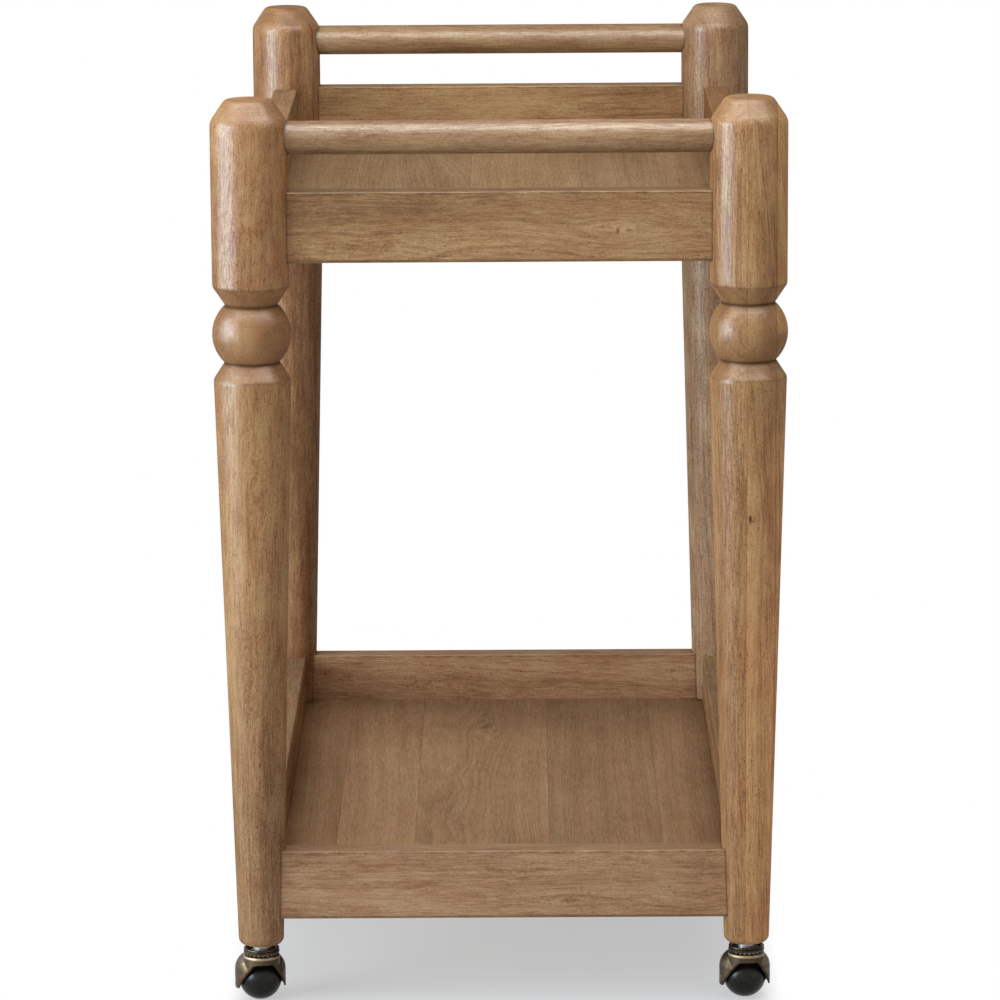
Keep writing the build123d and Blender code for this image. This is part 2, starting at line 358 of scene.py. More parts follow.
def buildJointShade():
    tree, given, out = newGroup(
        "jointShade",
        [
            ("Place", "Vector", None),
            ("Color", "Color", None),
            ("Depth", "Float", 0.6),
            ("Width", "Float", 0.002),
        ],
        [("Color", "Color")],
    )
    spot = axesOf(tree, given["Place"])
    fromX = calc(tree, "SUBTRACT", calc(tree, "ABSOLUTE", spot["X"]), cart["halfAcross"])
    fromY = calc(tree, "SUBTRACT", calc(tree, "ABSOLUTE", spot["Y"]), cart["halfAlong"])
    flat = addNode(tree, "ShaderNodeCombineXYZ", inputs={0: fromX, 1: fromY}).outputs[0]
    slope = (cart["legTopRadius"] - cart["legEndRadius"]) / (cart["legShoulder"] - cart["legEnd"])
    base = cart["legEndRadius"] - slope * cart["legEnd"]
    legRadius = calc(tree, "MULTIPLY_ADD", spot["Z"], slope, base)
    radius = calc(tree, "MINIMUM", legRadius, cart["blockRadius"])
    gap = calc(tree, "SUBTRACT", vectorCalc(tree, "LENGTH", flat), radius)
    # Painted shade, darkest against the post
    near = ramp(tree, gap, jointShadeAndLines["touching"], given["Width"], 1.0, 0.0)
    colour = mixed(tree, calc(tree, "MULTIPLY", near, given["Depth"]), given["Color"], jointShadeAndLines["tone"])
    linkAll(tree, {"Color": colour}, out)
    return tree


# Rails: a painted light on faces that turn up and painted highlights on the arrises, a broken dark line
# under the top and a darker foot
edgeLook = {
    "litTone": (0.5, 0.36, 0.23, 1),
    "topFacing": (0.75, 0.98),
    "topLight": 0.12,
    "cornerReach": (0.0003, 0.0012),
    "cornerHighlight": 0.25,
    "lineBelow": 0.0019,
    "lineReach": (0.0002, 0.001),
    "lineDark": 0.6,
    "breakNoise": (90.0, 3.0),
    "breaks": (0.35, 0.65),
    "footAbove": 0.0018,
    "footReach": (0.0006, 0.0014),
    "footDark": 0.45,
}


def buildEdgeLightAndLines():
    tree, given, out = newGroup(
        "edgeLightAndLines",
        [
            ("Place", "Vector", None),
            ("Upward", "Float", 0.0),
            ("Side", "Float", 0.0),
            ("Half Width", "Float", 0.0125),
            ("Top", "Float", 1.0),
            ("Bottom", "Float", 0.0),
            ("Color", "Color", None),
        ],
        [("Color", "Color")],
    )
    level = axesOf(tree, given["Place"])["Z"]
    fromTop = calc(tree, "SUBTRACT", given["Top"], level)
    fromBottom = calc(tree, "SUBTRACT", level, given["Bottom"])
    fromSide = calc(tree, "SUBTRACT", given["Half Width"], calc(tree, "ABSOLUTE", given["Side"]))
    # Painted light: the top face is lighter, and the arrises get a painted highlight
    onTop = ramp(tree, given["Upward"], *edgeLook["topFacing"], 0.0, edgeLook["topLight"])
    colour = mixed(tree, onTop, given["Color"], edgeLook["litTone"])
    corner = calc(tree, "MAXIMUM", calc(tree, "MINIMUM", fromTop, fromBottom), fromSide)
    atCorner = ramp(tree, corner, *edgeLook["cornerReach"], edgeLook["cornerHighlight"], 0.0)
    colour = mixed(tree, atCorner, colour, edgeLook["litTone"])
    fromLine = apart(tree, fromTop, edgeLook["lineBelow"])
    line = ramp(tree, fromLine, *edgeLook["lineReach"], edgeLook["lineDark"], 0.0)
    broken = ramp(tree, noise(tree, given["Place"], *edgeLook["breakNoise"]), *edgeLook["breaks"])
    colour = mixed(tree, calc(tree, "MULTIPLY", line, broken), colour, jointShadeAndLines["tone"])
    fromFoot = apart(tree, fromBottom, edgeLook["footAbove"])
    foot = ramp(tree, fromFoot, *edgeLook["footReach"], edgeLook["footDark"], 0.0)
    colour = mixed(tree, foot, colour, jointShadeAndLines["tone"])
    linkAll(tree, {"Color": colour}, out)
    return tree


woodFigure = buildWoodFigure()
jointShade = buildJointShade()
edgeLightAndLines = buildEdgeLightAndLines()

# A thin wax with an even, faint shine, so little haze at a low angle
waxes = {
    "turned": {"weight": 0.077, "roughness": 0.35},
    "handle": {"weight": 0.125, "roughness": 0.37},
    "rail": {"weight": 0.045, "roughness": 0.3},
    "panel": {"weight": 0.05, "roughness": 0.3},
}
woodFinish = {
    "specular": 0.0,
    "waxIor": 2.4,
    "waxHeights": (0.35, 1.0),
    "thinnest": 0.45,
    "thickest": 1.55,
    "bump": 0.35,
    "bumpHeight": 0.0003,
}


def finishWood(tree, finish, colour, roughness, height):
    wax = waxes[finish]
    bumpInputs = {"Strength": woodFinish["bump"], "Distance": woodFinish["bumpHeight"], "Height": height}
    bump = addNode(tree, "ShaderNodeBump", inputs=bumpInputs)
    least, most = (woodFinish[key] * wax["weight"] for key in ("thinnest", "thickest"))
    thickness = ramp(tree, height, *woodFinish["waxHeights"], least, most)
    shader = tree.nodes["Principled BSDF"].inputs
    linked = {"Base Color": colour, "Roughness": roughness, "Normal": bump.outputs[0]}
    linkAll(tree, {**linked, "Coat Weight": thickness}, shader)
    shader["Specular IOR Level"].default_value = woodFinish["specular"]
    shader["Coat Roughness"].default_value = wax["roughness"]
    shader["Coat IOR"].default_value = woodFinish["waxIor"]


# The grain parts round a small knot, which is dark in its middle; a knot is its centre, reach and darkness
knotShape = {"slim": 0.35, "reach": 1.6, "pull": 0.85, "core": (0.03, 0.15), "colour": (0.055, 0.021, 0.011)}


def partGrain(tree, where, knot, along, across):
    centre, reach, depth = knot
    offset = vectorCalc(tree, "SUBTRACT", where, centre)
    shape = (across + along * knotShape["slim"]) / reach
    away = vectorCalc(tree, "LENGTH", vectorCalc(tree, "MULTIPLY", offset, shape))
    pull = ramp(tree, away, 0.0, knotShape["reach"], -knotShape["pull"], 0.0)
    bend = scaled(tree, vectorCalc(tree, "MULTIPLY", offset, across), pull)
    dark = ramp(tree, away, *knotShape["core"], depth, 0.0)
    return vectorCalc(tree, "ADD", where, bend), dark


# The grain runs along X, Y or Z of the cart. The heart of the tree passes through a point and leans a little
# from the grain. End grain starts to show at the first value of endFacing and is full at the second
endFacing = (0.3, 0.75)


def placeFigure(
    tree, where, facing, grain, heart, lean=(0.0, 0.0), smooth=0.0, knots=(), squeeze=1.0, shift=None, **look
):
    turn = {
        "x": (0.0, math.pi / 2 + lean[0], lean[1]),
        "y": (-math.pi / 2 + lean[0], 0.0, lean[1]),
        "z": (lean[0], lean[1], 0.0),
    }[grain]
    along = Vector([float(axis == grain) for axis in "xyz"])
    across = Vector((1, 1, 1)) - along
    darkest = 0.0
    for knot in knots:
        where, dark = partGrain(tree, where, knot, along, across)
        darkest = calc(tree, "MAXIMUM", dark, darkest)
    if shift:
        where = vectorCalc(tree, "ADD", where, shift)
    scale = addNode(tree, "ShaderNodeCombineXYZ", inputs={0: 1.0, 1: 1.0, 2: squeeze}).outputs[0]
    inputs = {"Vector": where, "Location": heart, "Rotation": turn, "Scale": scale}
    mapping = addNode(tree, "ShaderNodeMapping", {"vector_type": "TEXTURE"}, inputs)
    crossed = ramp(tree, calc(tree, "ABSOLUTE", axesOf(tree, facing)[grain.upper()]), *endFacing)
    crossed = calc(tree, "MAXIMUM", crossed, smooth)
    figure = useGroup(tree, woodFigure, {"Place": mapping.outputs[0], "Across": crossed, **look})
    colour = mixed(tree, darkest, figure["Color"], rgb(knotShape["colour"]))
    return colour, figure["Roughness"], figure["Height"]


# Posts: each has its own blank
postLooks = {
    "front_left": {
        "heart": (-0.26, -0.37, 0.3),
        "lean": (0.03, 0.02),
        "knots": (((-0.2375, -0.43, 0.31), 0.012, 0.35), ((-0.224, -0.433, 0.5), 0.014, 0.0)),
        "Tint": (1.0, 0.94, 0.865, 1),
        "Ring Gap": 0.009,
        "Ring Line": 0.15,
        "Pore Cover": 0.6,
        "Mottle Depth": 0.27,
        "Dash Depth": 0.37,
        "Fleck Depth": 0.38,
    },
    "front_right": {
        "heart": (0.2, -0.33, 1.3),
        "lean": (0.004, 0.0),
        "Tint": (1.07, 1.03, 0.965, 1),
        "Ring Gap": 0.0035,
        "Ring Line": 0.35,
        "Mottle Depth": 0.15,
        "Cloud Depth": 0.3,
        "Streak Depth": 0.4,
        "Dash Depth": 0.3,
    },
    "back_left": {
        "heart": (-0.19, 0.43, 2.3),
        "lean": (0.02, 0.01),
        "Tint": (1.04, 0.975, 0.95, 1),
    },
    "back_right": {
        "heart": (0.25, 0.37, 3.3),
        "lean": (0.02, -0.01),
        "Tint": (0.98, 1.0, 1.09, 1),
        "Pore Cover": 0.7,
    },
}
# How much the figure of the block is drawn together along the grain, and how plain that of the bead is
blockCurl = {"front_left": 0.42, "front_right": 0.0, "back_left": 0.0, "back_right": 0.0}
beadPlain = {"front_left": 0.85, "front_right": 0.45, "back_left": 0.85, "back_right": 0.85}
beadFade = 0.001
# The front right post is glued up from two boards and a narrow edge strip, which shows on its block
gluedBlank = {
    "corner": "front_right",
    "joints": (0.2262, 0.2531),
    "glue": (0.12, 0.045, 0.02, 1),
    "lineWidth": 0.0007,
    "lineDepth": (0.3, 0.5),
    "edgeTint": (1.32, 1.32, 1.26, 1),
    "legFade": (0.3, 0.61),
    # On the leg the first board is tinted, and the second board, on the right, is lighter as a painted light
    # from the right
    "legTintsAndRightLight": ((0.96, 0.93, 0.92, 1), (1.4, 1.35, 1.33, 1)),
    "look": {
        "heart": (0.27, -0.37, 5.3),
        "lean": (0.045, -0.02),
        "knots": (((0.2293, -0.432, 0.4685), 0.014, 1.0),),
        "Tint": (1.03, 0.99, 0.9, 1),
        "Ring Gap": 0.005,
        "Ring Line": 0.45,
        "Band Depth": 0.28,
        "Cloud Depth": 0.3,
        "Dash Depth": 0.3,
    },
}
paleSpot = {
    "corner": "front_left",
    "centre": (-0.2275, -0.4357, 0.749),
    "reach": (0.0051, 0.0068),
    "depth": 0.45,
    "colour": (0.46, 0.28, 0.13, 1),
}
# Tints over a range of X and one of Z, each growing from its first value to its second. The lower leg tint
# of the front left post is uneven stain; the others are painted light and shade, as marked
tintsAndPaintedLight = {
    "front_left": (
        # Painted shade on the right of the block
        {"X": (-0.25, -0.2), "Z": (0.55, 0.62), "tint": (0.87, 0.8, 0.78)},
        # Painted light on the left of the leg
        {"X": (-0.24, -0.253), "Z": (0.62, 0.55), "tint": (1.1, 1.12, 1.12)},
        {"Z": (0.45, 0.15), "tint": (0.93, 0.97, 1.06)},
    ),
    # Painted light on the right of the leg
    "front_right": ({"X": (0.234, 0.253), "Z": (0.62, 0.5), "tint": (1.42, 1.42, 1.46)},),
    "back_left": (),
    # Painted sheen on the leg
    "back_right": ({"Z": (0.66, 0.6), "tint": (1.19, 1.28, 1.4)},),
}
# Dark rings that the turning leaves across the grain, and painted shade in the grooves and at the edges
# beside them
turningAndShade = {
    "tone": (0.08, 0.04, 0.02, 1),
    "ringNoise": (1000.0, 1.0),
    "rings": (0.4, 0.7, 0.0, 0.22),
    "facing": (0.2, 0.5),
    "grooves": (("lowerGroove", 0.003, 0.85), ("upperGroove", 0.003, 0.85)),
    "edges": (("blockFoot", 0.002, 0.35), ("legShoulder", 0.002, 0.3)),
}


def woodMaterial(name):
    material, tree, coordinates = startMaterial(name)
    return material, tree, coordinates["Object"], coordinates["Normal"]


def glueUp(tree, where, facing, smooth, colour):
    spot = axesOf(tree, where)
    other = placeFigure(tree, where, facing, "z", smooth=smooth, **gluedBlank["look"])[0]
    onLeg = ramp(tree, spot["Z"], *gluedBlank["legFade"], 1.0, 0.0)
    # The second board's tint is a painted light from the right
    boards = zip((colour, other), gluedBlank["legTintsAndRightLight"])
    colour, other = (mixed(tree, onLeg, board, tint, "MULTIPLY") for board, tint in boards)
    fromJoints = [calc(tree, "SUBTRACT", spot["X"], joint) for joint in gluedBlank["joints"]]
    beyond, edge = (calc(tree, "GREATER_THAN", away, 0.0) for away in fromJoints)
    edge = calc(tree, "MULTIPLY", edge, calc(tree, "GREATER_THAN", spot["Z"], cart["beadMiddle"]))
    colour = mixed(tree, beyond, colour, other)
    colour = mixed(tree, edge, colour, gluedBlank["edgeTint"], "MULTIPLY")
    for away, depth in zip(fromJoints, gluedBlank["lineDepth"]):
        line = ramp(tree, calc(tree, "ABSOLUTE", away), 0.0, gluedBlank["lineWidth"], depth, 0.0)
        colour = mixed(tree, line, colour, gluedBlank["glue"])
    return colour


def addPaleSpot(tree, where, colour):
    away = vectorCalc(tree, "LENGTH", vectorCalc(tree, "SUBTRACT", where, paleSpot["centre"]))
    share = ramp(tree, away, *paleSpot["reach"], paleSpot["depth"], 0.0)
    return mixed(tree, share, colour, paleSpot["colour"])


def tintAreas(tree, spot, tints, colour):
    for tint in tints:
        share = 1.0
        for axis in "XZ":
            if axis in tint:
                share = calc(tree, "MULTIPLY", ramp(tree, spot[axis], *tint[axis]), share)
        colour = mixed(tree, share, colour, rgb(tint["tint"]), "MULTIPLY")
    return colour


def addTurningAndShade(tree, level, facing, smooth, colour):
    rings = ramp(tree, lineNoise(tree, level, *turningAndShade["ringNoise"]), *turningAndShade["rings"])
    acrossGrain = ramp(tree, calc(tree, "ABSOLUTE", axesOf(tree, facing)["Z"]), *turningAndShade["facing"])
    acrossGrain = calc(tree, "MAXIMUM", acrossGrain, smooth)
    colour = mixed(tree, calc(tree, "MULTIPLY", acrossGrain, rings), colour, turningAndShade["tone"])
    # Painted shade in the grooves and beside the edges
    shade = 0.0
    for name, width, depth in turningAndShade["grooves"] + turningAndShade["edges"]:
        near = ramp(tree, apart(tree, level, cart[name]), 0.0, width, depth, 0.0)
        shade = calc(tree, "MAXIMUM", near, shade)
    return mixed(tree, shade, colour, turningAndShade["tone"])


def dressPost(corner):
    material, tree, where, facing = woodMaterial("postWood_" + corner)
    spot = axesOf(tree, where)
    fromBead = apart(tree, spot["Z"], cart["beadMiddle"])
    beadEdge = cart["beadHalf"]
    smooth = ramp(tree, fromBead, beadEdge, beadEdge + beadFade, beadPlain[corner], 0.0)
    onBlock = calc(tree, "GREATER_THAN", spot["Z"], cart["beadMiddle"] + beadEdge)
    squeeze = calc(tree, "MULTIPLY_ADD", onBlock, -blockCurl[corner], 1.0)
    look = {"smooth": smooth, "squeeze": squeeze, **postLooks[corner]}
    colour, roughness, height = placeFigure(tree, where, facing, "z", **look)
    if corner == paleSpot["corner"]:
        colour = addPaleSpot(tree, where, colour)
    if corner == gluedBlank["corner"]:
        colour = glueUp(tree, where, facing, smooth, colour)
    # Tints, most of them painted light and shade
    colour = tintAreas(tree, spot, tintsAndPaintedLight[corner], colour)
    colour = addTurningAndShade(tree, spot["Z"], facing, smooth, colour)
    finishWood(tree, "turned", colour, roughness, height)
    dress("post_" + corner, material)


for corner in corners:
    dressPost(corner)

# Rails and handles
railLooks = {
    "upper_end_rail_front": {
        "grain": "x",
        "heart": (0.4, -0.37, 0.66),
        "lean": (0.03, 0.01),
        "knots": (((0.119, -0.4125, 0.735), 0.012, 0.5),),
        "Tint": (0.94, 0.935, 0.93, 1),
        "Warp": 2.2,
        "Band Depth": 0.5,
        "Cloud Depth": 0.45,
    },
    "upper_end_rail_back": {
        "grain": "x",
        "heart": (1.4, 0.42, 0.67),
        "lean": (0.02, 0.0),
        "Tint": (0.96, 0.98, 0.94, 1),
        "Cloud Depth": 0.8,
    },
    "upper_side_rail_left": {
        "grain": "y",
        "heart": (-0.20, 2.4, 0.70),
        "lean": (0.01, 0.01),
    },
    "upper_side_rail_right": {
        "grain": "y",
        "heart": (0.20, 3.4, 0.71),
        "lean": (0.01, 0.01),
        "Tint": (0.86, 0.7, 0.6, 1),
    },
    "lower_end_rail_front": {
        "grain": "x",
        "heart": (4.4, -0.35, 0.04),
        "lean": (0.004, 0.004),
        "knots": (((0.058, -0.4125, 0.1), 0.01, 0.35),),
        "Tint": (1.06, 1.06, 1.19, 1),
    },
    "lower_end_rail_back": {
        "grain": "x",
        "heart": (5.4, 0.43, 0.05),
        "lean": (0.004, 0.004),
        "knots": (((0.185, 0.3875, 0.13), 0.014, 0.5),),
        "Tint": (1.14, 1.12, 1.25, 1),
    },
    "lower_side_rail_left": {
        "grain": "y",
        "heart": (-0.20, 6.4, 0.08),
        "lean": (0.01, 0.01),
    },
    "lower_side_rail_right": {
        "grain": "y",
        "heart": (0.20, 7.4, 0.08),
        "lean": (0.01, 0.01),
    },
    "handle_rail_front": {
        "grain": "x",
        "heart": (8.4, -0.41, 0.80),
        "lean": (0.002, 0.001),
        "Tint": (0.79, 0.79, 0.79, 1),
    },
    "handle_rail_back": {
        "grain": "x",
        "heart": (9.4, 0.41, 0.81),
        "lean": (0.002, 0.001),
        "Tint": (0.8, 0.81, 0.8, 1),
    },
}
railGrain = {
    "Warp": 1.5,
    "Ring Gap": 0.009,
    "Band Depth": 0.6,
    "Mottle Depth": 0.2,
    "Streak Depth": 0.26,
    "Fibre Depth": 0.42,
    "Dash Depth": 0.35,
    "Fleck Depth": 0.2,
    "Pore Cover": 0.3,
    "Dark": (0.182, 0.097, 0.046, 1),
}


def paintEdgeLightAndLines(tree, where, facing, node, grain, colour):
    lows, highs = ([pick(values) for values in zip(*nodes[node].bound_box)] for pick in (min, max))
    width = {"x": "Y", "y": "X"}[grain]
    axis = "XYZ".index(width)
    edges = {
        "Upward": axesOf(tree, facing)["Z"],
        "Side": calc(tree, "SUBTRACT", axesOf(tree, where)[width], (lows[axis] + highs[axis]) / 2),
        "Half Width": (highs[axis] - lows[axis]) / 2,
        "Top": highs[2],
        "Bottom": lows[2],
    }
    return useGroup(tree, edgeLightAndLines, {"Place": where, "Color": colour, **edges})["Color"]


def dressRail(node):
    look = railLooks[node]
    finish = "handle" if node.startswith("handle") else "rail"
    material, tree, where, facing = woodMaterial("wood_" + node)
    colour, roughness, height = placeFigure(tree, where, facing, **{**railGrain, **look})
    # Painted shade where the rail meets a post
    colour = useGroup(tree, jointShade, {"Place": where, "Color": colour})["Color"]
    if finish == "rail":
        # Painted light on the top and painted highlights on the arrises, with dark lines at the top and the
        # foot
        colour = paintEdgeLightAndLines(tree, where, facing, node, look["grain"], colour)
    finishWood(tree, finish, colour, roughness, height)
    dress(node, material)


for node in railLooks:
    dressRail(node)

# Tray panels: boards glued edge to edge
panelLooks = {
    "upper_tray_panel": {
        "seams": (-0.12, -0.03, 0.08, 0.16),
        "tones": (1.0, 0.95, 1.06, 0.96, 1.03),
        "wood": {"heart": (0.0, 1.7, 0.58), "Tint": (0.9, 0.98, 1.06, 1)},
    },
    "lower_tray_panel": {
        "seams": (-0.164, -0.087, 0.045, 0.155),
        "tones": (1.1, 1.17, 1.1, 0.97, 0.98),
        "wood": {
            "heart": (0.0, 4.7, -0.03),
            "knots": (((-0.02, 0.26, 0.099), 0.03, 0.35),),
            "Tint": (1.3, 1.36, 1.5, 1),
        },
    },
}
panelGrain = {
    "lean": (0.01, 0.01),
    "Warp": 0.5,
    "Ring Gap": 0.0015,
    "Ring Wave": 0.19,
    "Ring Line": 0.04,
    "Ring Depth": 0.12,
    "Band Depth": 0.25,
    "Cloud Depth": 0.3,
    "Mottle Depth": 0.06,
    "Streak Depth": 0.12,
    "Fibre Depth": 0.25,
    "Dash Depth": 0.15,
    "Fleck Depth": 0.05,
    "Pore Cover": 0.03,
}
seamLook = {"width": 0.0009, "dark": 0.28, "tone": (0.08, 0.045, 0.025, 1), "shift": (0.12, 0.9, 0.03)}
# Painted shade: darker towards the far end and the sides, made uneven by noise, and wide painted shade round
# the posts
panelRimShade = {
    "end": 0.3755,
    "endFade": (0.0, 0.22, 0.42, 0.0),
    "side": 0.216,
    "sideFade": (0.0, 0.04, 0.25, 0.0),
    "unevenShadeNoise": (14.0, 3.0),
    "unevenShade": (0.3, 0.7, 0.7, 1.1),
    "tone": (0.07, 0.042, 0.03, 1),
    "jointWidth": 0.018,
}


def buildBoards():
    seams = ["Seam %d" % count for count in range(1, 5)]
    tones = ["Tone %d" % count for count in range(5)]
    tree, given, out = newGroup(
        "gluedBoards",
        [
            ("Place", "Vector", None),
            *((label, "Float", 0.0) for label in seams),
            *((label, "Float", 1.0) for label in tones),
        ],
        [("Chance", "Color"), ("Tone", "Float"), ("Seam", "Float")],
    )
    across = axesOf(tree, given["Place"])["X"]
    board, seam, tone = 0.0, 0.0, given[tones[0]]
    for label, before, after in zip(seams, tones, tones[1:]):
        past = calc(tree, "GREATER_THAN", across, given[label])
        board = calc(tree, "ADD", past, board)
        step = calc(tree, "SUBTRACT", given[after], given[before])
        tone = calc(tree, "MULTIPLY_ADD", past, step, tone)
        near = ramp(tree, apart(tree, across, given[label]), 0.0, seamLook["width"], 1.0, 0.0)
        seam = calc(tree, "MAXIMUM", near, seam)
    linkAll(tree, {"Chance": chanceOf(tree, board, "Color"), "Tone": tone, "Seam": seam}, out)
    return tree


gluedBoards = buildBoards()


def shadeRim(tree, where, colour):
    spot = axesOf(tree, where)
    fromEnd = calc(tree, "SUBTRACT", panelRimShade["end"], spot["Y"])
    fromSide = calc(tree, "SUBTRACT", panelRimShade["side"], calc(tree, "ABSOLUTE", spot["X"]))
    # Painted shade towards the far end and the sides
    rim = calc(
        tree,
        "MAXIMUM",
        ramp(tree, fromEnd, *panelRimShade["endFade"]),
        ramp(tree, fromSide, *panelRimShade["sideFade"]),
    )
    unevenShade = ramp(tree, noise(tree, where, *panelRimShade["unevenShadeNoise"]), *panelRimShade["unevenShade"])
    colour = mixed(tree, calc(tree, "MULTIPLY", rim, unevenShade), colour, panelRimShade["tone"])
    # Wide painted shade round the posts
    inputs = {"Place": where, "Color": colour, "Width": panelRimShade["jointWidth"]}
    return useGroup(tree, jointShade, inputs)["Color"]


def dressPanel(node):
    look = panelLooks[node]
    material, tree, where, facing = woodMaterial("wood_" + node)
    seams = {"Seam %d" % (index + 1): place for index, place in enumerate(look["seams"])}
    tones = {"Tone %d" % index: tone for index, tone in enumerate(look["tones"])}
    boards = useGroup(tree, gluedBoards, {"Place": where, **seams, **tones})
    shift = vectorCalc(tree, "MULTIPLY", boards["Chance"], seamLook["shift"])
    wood = {"shift": shift, **look["wood"], **panelGrain}
    colour, roughness, height = placeFigure(tree, where, facing, "y", **wood)
    toned = {"Value": boards["Tone"], "Color": colour}
    colour = addNode(tree, "ShaderNodeHueSaturation", inputs=toned).outputs[0]
    colour = mixed(tree, calc(tree, "MULTIPLY", boards["Seam"], seamLook["dark"]), colour, seamLook["tone"])
    colour = shadeRim(tree, where, colour)
    finishWood(tree, "panel", colour, roughness, height)
    dress(node, material)


def dressPins():
    material, tree, where, facing = woodMaterial("wood_dowelPins")
    finishWood(tree, "rail", *placeFigure(tree, where, facing, "x", (0.0, 0.0, 0.0)))
    dress("upper_tray_dowel_pins", material)
    dress("lower_tray_dowel_pins", material)


for node in panelLooks:
    dressPanel(node)
dressPins()
print("wood finished")

# Caster metals
metalLooks = {
    "nickel": {
        "Bright": (0.92, 0.9, 0.87, 1),
        "Dull": (0.75, 0.73, 0.69, 1),
        "Dull Share": 0.3,
        "Smooth": 0.35,
        "Rough": 0.5,
    },
    "darkBronze": {
        "Bright": (0.135, 0.089, 0.055, 1),
        "Dull": (0.034, 0.024, 0.016, 1),
        "Dull Share": 0.6,
        "Smooth": 0.24,
        "Rough": 0.42,
    },
    "antiqueBrass": {
        "Bright": (0.11, 0.073, 0.042, 1),
        "Dull": (0.046, 0.031, 0.019, 1),
        "Dull Share": 0.55,
        "Smooth": 0.38,
        "Rough": 0.58,
    },
    "bearingSteel": {
        "Bright": (0.45, 0.41, 0.33, 1),
        "Dull": (0.16, 0.13, 0.09, 1),
        "Dull Share": 0.45,
        "Smooth": 0.2,
        "Rough": 0.4,
    },
}
# Each noise of the tarnish is its scale, detail and weight
tarnish = {
    "noises": ((160.0, 4.0, 0.65), (1400.0, 2.0, 0.35)),
    "soft": 0.12,
    "bump": 0.2,
    "bumpHeight": 0.0001,
}
# A painted highlight: a bright band round the foot of the hood's neck
paintedHighlightBand = {
    "metal": "antiqueBrass",
    "level": 0.0447,
    "reach": (0.0003, 0.0014),
    "depth": 0.36,
    "colour": (0.5, 0.37, 0.21, 1),
}


def buildAgedMetal():
    tree, given, out = newGroup(
        "agedMetal",
        [
            ("Place", "Vector", None),
            ("Bright", "Color", (0.5, 0.4, 0.28, 1)),
            ("Dull", "Color", (0.2, 0.15, 0.1, 1)),
            ("Dull Share", "Float", 0.5),
            ("Smooth", "Float", 0.25),
            ("Rough", "Float", 0.5),
        ],
        [("Color", "Color"), ("Roughness", "Float"), ("Height", "Float")],
    )
    mottle = 0.0
    for scale, detail, weight in tarnish["noises"]:
        mottle = calc(tree, "MULTIPLY_ADD", noise(tree, given["Place"], scale, detail), weight, mottle)
    edge = calc(tree, "SUBTRACT", 1.0, given["Dull Share"])
    dull = ramp(tree, calc(tree, "SUBTRACT", mottle, edge), -tarnish["soft"], tarnish["soft"])
    spread = calc(tree, "SUBTRACT", given["Rough"], given["Smooth"])
    outputs = {
        "Color": mixed(tree, dull, given["Bright"], given["Dull"]),
        "Roughness": calc(tree, "MULTIPLY_ADD", dull, spread, given["Smooth"]),
        "Height": mottle,
    }
    linkAll(tree, outputs, out)
    return tree


agedMetal = buildAgedMetal()


def metalMaterial(name):
    material, tree, coordinates = startMaterial(name)
    where = coordinates["Object"]
    aged = useGroup(tree, agedMetal, {"Place": where, **metalLooks[name]})
    bumpInputs = {"Strength": tarnish["bump"], "Distance": tarnish["bumpHeight"], "Height": aged["Height"]}
    bump = addNode(tree, "ShaderNodeBump", inputs=bumpInputs)
    colour = aged["Color"]
    # Painted highlight band on the hood
    if name == paintedHighlightBand["metal"]:
        away = apart(tree, axesOf(tree, where)["Z"], paintedHighlightBand["level"])
        bandHighlight = ramp(tree, away, *paintedHighlightBand["reach"], paintedHighlightBand["depth"], 0.0)
        colour = mixed(tree, bandHighlight, colour, paintedHighlightBand["colour"])
    shader = tree.nodes["Principled BSDF"].inputs
    shader["Metallic"].default_value = 1.0
    linkAll(tree, {"Base Color": colour, "Roughness": aged["Roughness"], "Normal": bump.outputs[0]}, shader)
    return material


# Black ball wheels
wheelLook = {
    "colour": (0.009, 0.008, 0.0055, 1),
    "scuff": (0.022, 0.019, 0.014, 1),
    "scuffNoise": (420.0, 4.0),
    "scuffed": (0.5, 0.75),
    "roughness": (0.28, 0.42),
    "specular": 0.17,
}


def wheelMaterial(name):
    material, tree, coordinates = startMaterial(name)
    scuff = ramp(tree, noise(tree, coordinates["Object"], *wheelLook["scuffNoise"]), *wheelLook["scuffed"])
    colour = mixed(tree, scuff, wheelLook["colour"], wheelLook["scuff"])
    roughness = ramp(tree, scuff, 0.0, 1.0, *wheelLook["roughness"])
    shader = tree.nodes["Principled BSDF"].inputs
    shader["Specular IOR Level"].default_value = wheelLook["specular"]
    linkAll(tree, {"Base Color": colour, "Roughness": roughness}, shader)
    return material


metals = {name: metalMaterial(name) for name in metalLooks}
metals["blackWheel"] = wheelMaterial("blackWheel")
casterFinish = {
    "caster_socket": "nickel",
    "caster_stem": "nickel",
    "caster_race_cap": "darkBronze",
    "caster_ball_race": "bearingSteel",
    "caster_hood": "antiqueBrass",
    "caster_axle": "bearingSteel",
    "caster_ball_wheel": "blackWheel",
}
for corner in corners:
    for piece, finish in casterFinish.items():
        dress(piece + "_" + corner, metals[finish])

# Bearing balls, in place of the plain ring in each caster
ballRace = {"pitchRadius": 0.01455, "ballRadius": 0.0014, "count": 22, "height": 0.0482}
ballMesh = {"Segments": 16, "Rings": 10}


